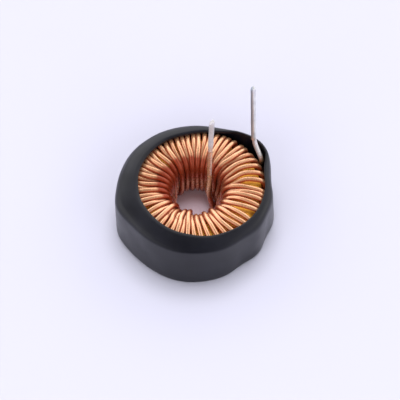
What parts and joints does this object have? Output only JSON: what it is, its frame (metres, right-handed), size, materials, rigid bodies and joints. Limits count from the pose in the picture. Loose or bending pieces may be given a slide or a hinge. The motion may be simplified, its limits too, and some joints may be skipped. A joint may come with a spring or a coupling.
{
  "type": "toroidal inductor",
  "caption": "Ring-core power inductor wound with enamelled copper wire, with a black heat-shrink sleeve round its rim and upright tinned leads for through-hole soldering.",
  "frame": {"origin": "centre of the ring, on the surface that the inductor rests on", "axes": "+Z is the ring's axis and points up, the way the leads stand; the leads lie towards +X and +Y, and -Y is the front"},
  "size_m": [0.0211, 0.0212, 0.0205],
  "materials": {
    "core_coating": "matt yellow paint over an iron-powder ring",
    "enamelled_copper": "glossy clear enamel over copper",
    "solder": "satin tin, dull in places",
    "heat_shrink": "satin black polyolefin"
  },
  "bodies": {
    "root": {"core": "core_coating", "winding": "enamelled_copper", "solder_outer_lead": "solder", "solder_inner_lead": "solder", "sleeve": "heat_shrink"}
  },
  "joints": []
}
